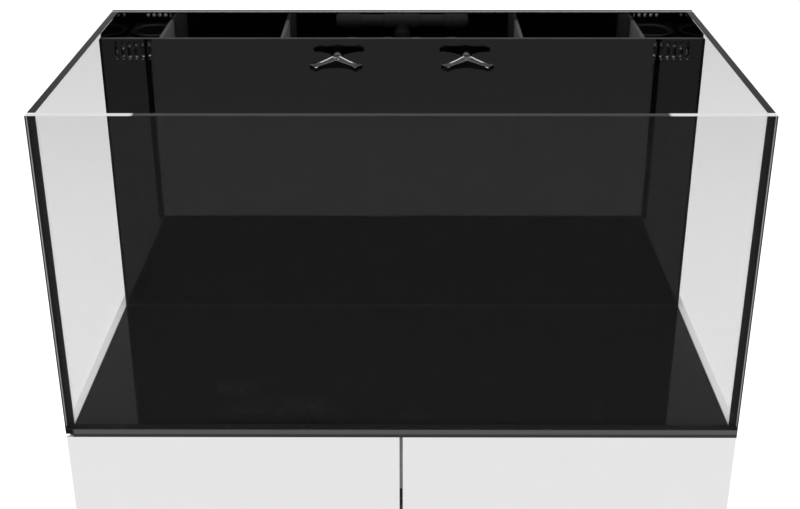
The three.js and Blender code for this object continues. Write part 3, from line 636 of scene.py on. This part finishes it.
def add_nozzle(side, sign):
    low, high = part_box("nozzle_head_" + side)
    x, z, back = (low.x + high.x) / 2, (low.z + high.z) / 2, high.y
    stem_low, stem_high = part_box("nozzle_stem_" + side)
    ball_y = back - 0.006
    radius = (high.z - low.z) / 2
    root = Vector((x, back - 0.014, z))
    front = root.y - 0.005
    outline = [
        (0, front), (0.0042, front), (radius, front + 0.0045), (radius, back - 0.0035),
        (radius - 0.0012, back), (0, back),
    ]
    head = lathe("nozzle_head_piece_" + side, outline, "y", (x, z))
    joined(head, nozzle_arm("arm_a", root, -1), nozzle_arm("arm_b", root, 1))
    socket = [
        (0, ball_y - 0.0061), (0.0035, ball_y - 0.005), (SOCKET_RADIUS, ball_y - 0.001),
        (SOCKET_RADIUS, ball_y + 0.001), (0.0045, ball_y + 0.0038), (0.0054, back + 0.001),
        (0, back + 0.001),
    ]
    without(head, lathe("socket", socket, "y", (x, z)))
    fit_out(head, "nozzle_head_" + side, "glossy_plastic", "nozzle_head_" + side, 0.0003)
    # the ridge flanks get the polished black, the up-facing faces the lighter grey of painted top
    # light, and the rest the dark moulding
    set_material(head, DARK_MOULDING, POLISHED, PAINTED_TOP_LIGHT)
    for polygon in head.data.polygons:
        tilted = 0.5 < polygon.normal.z < 0.97 and polygon.normal.y < -0.12
        polygon.material_index = 1 if tilted else 2 if looks_up(polygon) else 0

    steps = 10
    shoulder = ball_y + 0.0085
    profile = [(STEM_BORE, stem_high.y), (STEM_BORE, stem_low.y)]
    first = math.asin(STEM_BORE / BALL_RADIUS)
    last = math.pi - math.asin(NECK_RADIUS / BALL_RADIUS)
    for i in range(1, steps + 1):
        angle = first + (last - first) * i / steps
        profile.append((BALL_RADIUS * math.sin(angle), ball_y - BALL_RADIUS * math.cos(angle)))
    shaft = [
        (NECK_RADIUS, shoulder - 0.002), (NECK_RADIUS, shoulder), (STEM_RADIUS, shoulder),
        (STEM_RADIUS, stem_high.y), (STEM_RADIUS - 0.001, stem_high.y),
    ]
    profile += rounded(shaft, 0.0007)[1:-1]
    stem = lathe("nozzle_stem_piece_" + side, profile, "y", (x, z))
    fit_out(stem, "nozzle_stem_" + side, "glossy_plastic", "nozzle_stem_" + side)
    # the stem gets the lighter grey of painted sheen
    set_material(stem, STEM_PAINTED_SHEEN)

    wall_low, wall_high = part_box("wall_grommet_" + side)
    ring_radius = (wall_high.z - wall_low.z) / 2
    ends = (wall_low.y, wall_high.y)
    grommet = tube("wall_grommet_piece_" + side, ring_radius, GROMMET_BORE, ends, "y", (x, z))
    fit_out(grommet, "tank_and_cabinet", "black_silicone", "wall_grommet_" + side)


# ---- return pipework ----
PIPE_R = 0.010
PIPE_BORE = 0.0075
ELBOW_BORE = 0.0058
PIPE_GAP = 0.0003
OVERRUN = 0.001  # how far a cutting tool reaches past the face it opens
FITTING_R = 0.013
BODY_R = 0.0122
COLLAR = 0.0145
SOCKET = 0.013


def fitting_arm(middle, mouth, axis, centre):
    """One arm of a moulded fitting, with a thicker collar round its mouth."""
    step = math.copysign(1, mouth - middle)
    collar = mouth - step * COLLAR
    outline = [
        (BODY_R, middle), (BODY_R, collar), (FITTING_R, collar + step * 0.001), (FITTING_R, mouth),
    ]
    return bar("arm", outline, axis, centre, 0.0007)


def bore(start, mouth, axis, centre, radius=PIPE_BORE):
    """Tools for an arm's socket and for the narrower way behind it."""
    step = math.copysign(1, mouth - start)
    ends = sorted((mouth - step * SOCKET, mouth + step * OVERRUN))
    socket = tool(PIPE_R + PIPE_GAP, ends, axis, centre)
    return socket, tool(radius, sorted((start, mouth)), axis, centre)


def add_tee():
    low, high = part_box("return_tee")
    y, z = (low.y + high.y) / 2, high.z - FITTING_R
    tee = fitting_arm(0, high.x, "x", (y, z))
    tee.name = "return_tee_piece"
    joined(tee, fitting_arm(0, low.x, "x", (y, z)), fitting_arm(z, low.z, "z", (0, y)))
    without(tee, *bore(0, high.x, "x", (y, z)), *bore(0, low.x, "x", (y, z)))
    without(tee, *bore(z, low.z, "z", (0, y)))
    fit_out(tee, "tank_and_cabinet", "black_plastic", "return_tee", 0.0004)
    set_material(tee, PIPE_PAINTED_LIGHT)
    return y, z


def add_elbow(side, sign, y, z):
    low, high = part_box("return_elbow_" + side)
    x = high.x - FITTING_R if sign > 0 else low.x + FITTING_R
    mouth_x = low.x if sign > 0 else high.x
    elbow = fitting_arm(x, mouth_x, "x", (y, z))
    elbow.name = "return_elbow_piece_" + side
    steps = 14
    angles = [math.pi * i / steps for i in range(steps + 1)]
    corner = [(BODY_R * math.sin(a), z - BODY_R * math.cos(a)) for a in angles]
    joined(elbow, fitting_arm(y, low.y, "y", (x, z)))
    joined(elbow, lathe("corner", [(0, z - BODY_R), *corner[1:-1], (0, z + BODY_R)], "z", (x, y)))
    without(elbow, *bore(x, mouth_x, "x", (y, z), ELBOW_BORE))
    without(elbow, tool(ELBOW_BORE, (low.y - OVERRUN, y), "y", (x, z)))
    fit_out(elbow, "tank_and_cabinet", "black_plastic", "return_elbow_" + side, 0.0004)
    set_material(elbow, PIPE_PAINTED_LIGHT)


def add_pipework():
    y, z = add_tee()
    for side, sign in SIDES:
        add_elbow(side, sign, y, z)
        low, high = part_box("return_pipe_" + side)
        pipe = tube("return_pipe_piece_" + side, PIPE_R, PIPE_BORE, (low.x, high.x), "x", (y, z))
        fit_out(pipe, "tank_and_cabinet", "black_plastic", "return_pipe_" + side)
        set_material(pipe, PIPE_PAINTED_LIGHT)
    low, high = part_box("riser_pipe")
    riser = tube("riser_pipe_piece", PIPE_R, PIPE_BORE, (low.z, high.z), "z", (0, y))
    fit_out(riser, "tank_and_cabinet", "black_plastic", "riser_pipe")
    return y


# ---- filter socks ----
FELT = 0.0018
HEM = 0.012
HEM_STEP = 0.0004
BAG_ROUND = 0.022
BAG_AROUND = 88
SEAM_ANGLE = math.radians(90)
SEAM_WIDTH = 0.0016
SEAM_HEIGHT = 0.0006


def bag_radius(angle, drop):
    """How far the hung felt stands from a plain bag: shallow folds that grow towards the bottom."""
    folds = 0.6 * math.sin(5 * angle + 0.7) + 0.4 * math.sin(9 * angle + 2.1 + 9 * drop)
    return -0.0006 + 0.0007 * folds * min(1, drop / 0.06)


def add_bag(side, centre):
    low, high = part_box("sock_bag_" + side)
    radius = (high.x - low.x) / 2
    x, y = centre
    depth = high.z - low.z
    levels = [depth * i / 34 for i in range(28)]
    rows = [(radius, drop) for drop in levels if drop < depth - BAG_ROUND]
    for i in range(9):
        angle = math.pi / 2 * i / 9
        inward, down = BAG_ROUND * math.cos(angle), BAG_ROUND * math.sin(angle)
        rows.append((radius - BAG_ROUND + inward, depth - BAG_ROUND + down))
    rows += [(radius * share, depth - 0.0008 * share) for share in (0.25, 0.16, 0.08)]

    def skin(inset):
        rings = []
        for r, drop in rows:
            hem = HEM_STEP if drop < HEM else 0.0
            lift = inset if drop > depth - BAG_ROUND else 0
            ring = []
            for k in range(BAG_AROUND):
                angle = 2 * math.pi * k / BAG_AROUND
                reach = r + (bag_radius(angle, drop) + hem) * min(1, r / radius * 1.5) - inset
                out_x, out_y = reach * math.cos(angle), reach * math.sin(angle)
                ring.append((x + out_x, y + out_y, high.z - drop + lift))
            rings.append(ring)
        return rings

    outer, inner = skin(0), skin(FELT)
    bag = loft("sock_bag_piece_" + side, outer[::-1] + inner)
    fit_out(bag, "sock_" + side, "felt", "sock_bag_" + side)
    bag.data.shade_smooth()

    path = [
        (r + bag_radius(SEAM_ANGLE, drop) * min(1, r / radius * 1.5), drop) for r, drop in rows[:-2]
    ]
    rings = []
    for i, (r, drop) in enumerate(path):
        after, before = path[min(i + 1, len(path) - 1)], path[max(i - 1, 0)]
        along = Vector((0, after[0] - before[0], before[1] - after[1])).normalized()
        out = Vector((0, -along.z, along.y))
        heart = Vector((x, y + r, high.z - drop)) - out * 0.0002
        ring = []
        for k in range(10):
            angle = 2 * math.pi * k / 10
            sideways = Vector((SEAM_WIDTH * math.cos(angle), 0, 0))
            ring.append(heart + sideways + out * SEAM_HEIGHT * math.sin(angle))
        rings.append(ring)
    seam = loft("sock_seam_" + side, rings)
    fit_out(seam, "sock_" + side, "felt", "sock_bag_" + side)


def add_sock(side):
    low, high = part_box("sock_ring_" + side)
    centre = ((low.x + high.x) / 2, (low.y + high.y) / 2)
    ring_r, neck_r, inner_r, flange = (high.x - low.x) / 2, 0.0314, 0.0274, 0.004
    top, under, groove = high.z, high.z - flange, neck_r - 0.0008
    outline = [
        (inner_r, low.z), (neck_r, low.z), (neck_r, low.z + 0.003), (groove, low.z + 0.0038),
        (groove, low.z + 0.0052), (neck_r, low.z + 0.006), (neck_r, under), (ring_r, under),
        (ring_r, top - 0.0006), (ring_r - 0.0022, top), (ring_r - 0.003, top - 0.0009),
        (inner_r + 0.003, top - 0.0009), (inner_r + 0.002, top), (inner_r, top - 0.001),
    ]
    ring = lathe("sock_ring_piece_" + side, rounded(outline, 0.0005), "z", centre, 88)
    fit_out(ring, "sock_" + side, "black_plastic", "sock_ring_" + side)
    add_bag(side, centre)

    tray_low, tray_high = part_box("sock_tray_" + side)
    tray = rounded_block("sock_tray_piece_" + side, tray_low, tray_high, 0.001)
    without(tray, tool(0.032, (tray_low.z - OVERRUN, tray_high.z + OVERRUN), "z", centre))
    fit_out(tray, "tank_and_cabinet", "black_plastic", "sock_tray_" + side, 0.0005)


# ---- return pump ----
VOLUTE_WALL = 0.004
INLET_RADIUS = 0.011
RIB_COUNT = 5
RIB_PITCH = 0.014
RIB_RADIUS = 0.031
MOTOR_RADIUS = 0.029


def add_pump(outlet_y):
    low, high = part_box("pump_volute")
    radius = (high.y - low.y) / 2
    y, z = (low.y + high.y) / 2, low.z + (high.y - low.y) / 2
    axis = (y, z)
    casing = bar("pump_volute_piece", [(radius, low.x), (radius, high.x)], "x", axis, 0.002)
    groove = FITTING_R - 0.0008
    outlet = [
        (FITTING_R, z), (FITTING_R, high.z - 0.006), (groove, high.z - 0.0055),
        (groove, high.z - 0.004), (FITTING_R, high.z - 0.0035), (FITTING_R, high.z),
    ]
    joined(casing, bar("outlet", outlet, "z", (0, outlet_y), 0.0005))
    chamber = (low.x + VOLUTE_WALL, high.x + OVERRUN)
    without(casing, tool(radius - VOLUTE_WALL, chamber, "x", axis))
    without(casing, tool(INLET_RADIUS, (low.x - OVERRUN, low.x + 0.005), "x", axis))
    outlet_socket = (high.z - SOCKET, high.z + OVERRUN)
    without(casing, tool(PIPE_R + PIPE_GAP, outlet_socket, "z", (0, outlet_y)))
    without(casing, tool(PIPE_BORE, (z + 0.02, high.z), "z", (0, outlet_y)))
    fit_out(casing, "tank_and_cabinet", "black_plastic", "pump_volute", 0.0004)

    motor_low, motor_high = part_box("pump_motor")
    start, end = high.x + 0.0003, motor_high.x
    outline = [(0.002, motor_low.x), (0.002, start), (radius, start)]
    outline += [(radius, start + 0.006), (MOTOR_RADIUS, start + 0.0065)]
    for i in range(RIB_COUNT):
        rib = start + 0.012 + RIB_PITCH * i
        outline += [(MOTOR_RADIUS, rib), (RIB_RADIUS, rib + 0.0005)]
        outline += [(RIB_RADIUS, rib + 0.0055), (MOTOR_RADIUS, rib + 0.006)]
    outline += [(MOTOR_RADIUS, end - 0.003), (0.026, end)]
    motor = bar("pump_motor_piece", outline, "x", axis, 0.0007)
    saddle_low = (start + 0.002, y - 0.026, motor_low.z + 0.0017)
    saddle_high = (end - 0.004, y + 0.026, z - 0.012)
    joined(motor, rounded_block("saddle", saddle_low, saddle_high, 0.004, 5))
    foot_ends = (motor_low.z, motor_low.z + 0.0037)
    for foot_x in (start + 0.012, end - 0.014):
        for foot_y in (y - 0.018, y + 0.018):
            joined(motor, cylinder("foot", 0.005, foot_ends, "z", (foot_x, foot_y)))
    fit_out(motor, "tank_and_cabinet", "black_plastic", "pump_motor", 0.0004)


add_camera()
add_stage()
dress_cad_nodes()
riser_y = add_pipework()
add_pump(riser_y)
for side_name, side_sign in SIDES:
    add_nozzle(side_name, side_sign)
    add_sock(side_name)
